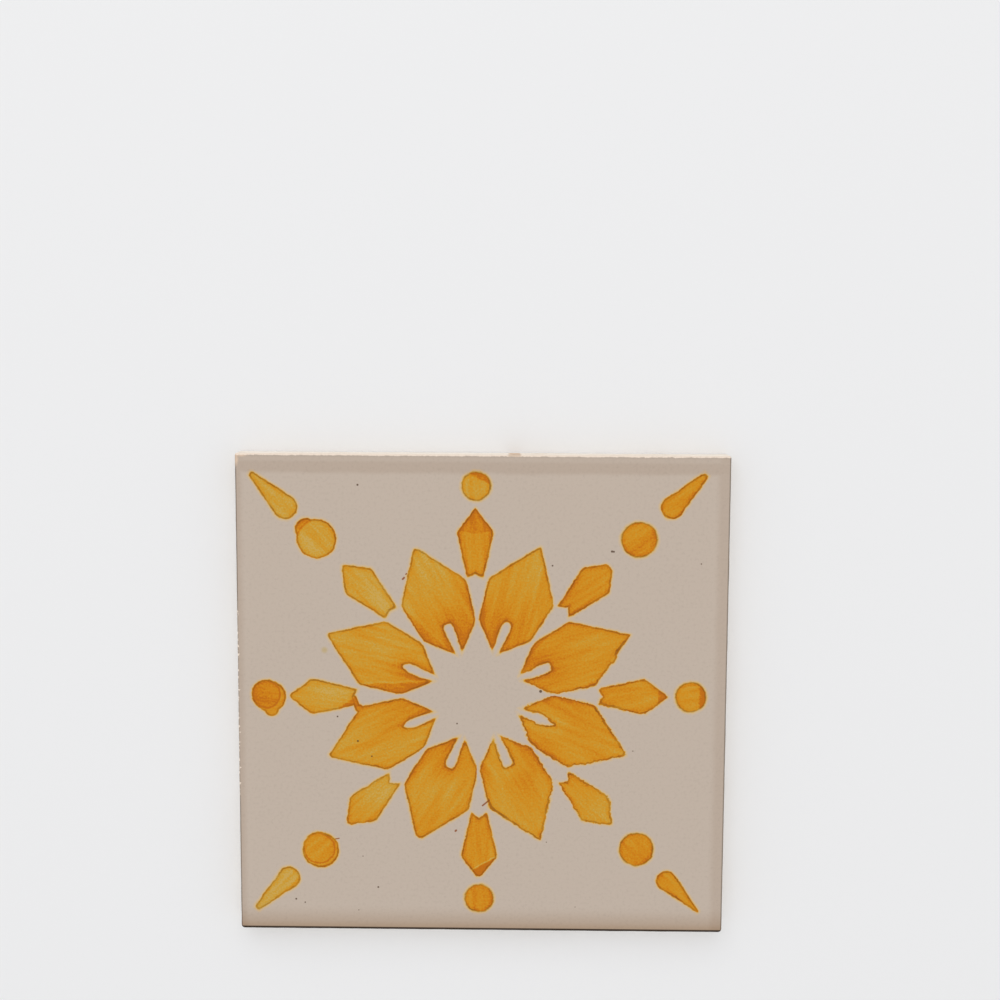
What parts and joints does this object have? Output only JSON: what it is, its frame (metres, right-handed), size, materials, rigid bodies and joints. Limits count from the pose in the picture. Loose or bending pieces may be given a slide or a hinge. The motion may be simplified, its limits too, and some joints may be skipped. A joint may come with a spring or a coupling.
{
  "type": "azulejo tile",
  "caption": "Square glazed earthenware wall tile with a stencilled ochre star flower on a warm beige-grey ground, cushion edges and a keyed back.",
  "frame": {"origin": "middle of the back, on the plane of its ribs, which is the plane it lies on", "axes": "+Z out of the glazed face, +Y towards the top edge of the pattern, +X to its right"},
  "size_m": [0.14, 0.14, 0.008],
  "materials": {
    "painted_glaze": "satin glaze"
  },
  "bodies": {
    "root": {"tile": "painted_glaze"}
  },
  "joints": []
}
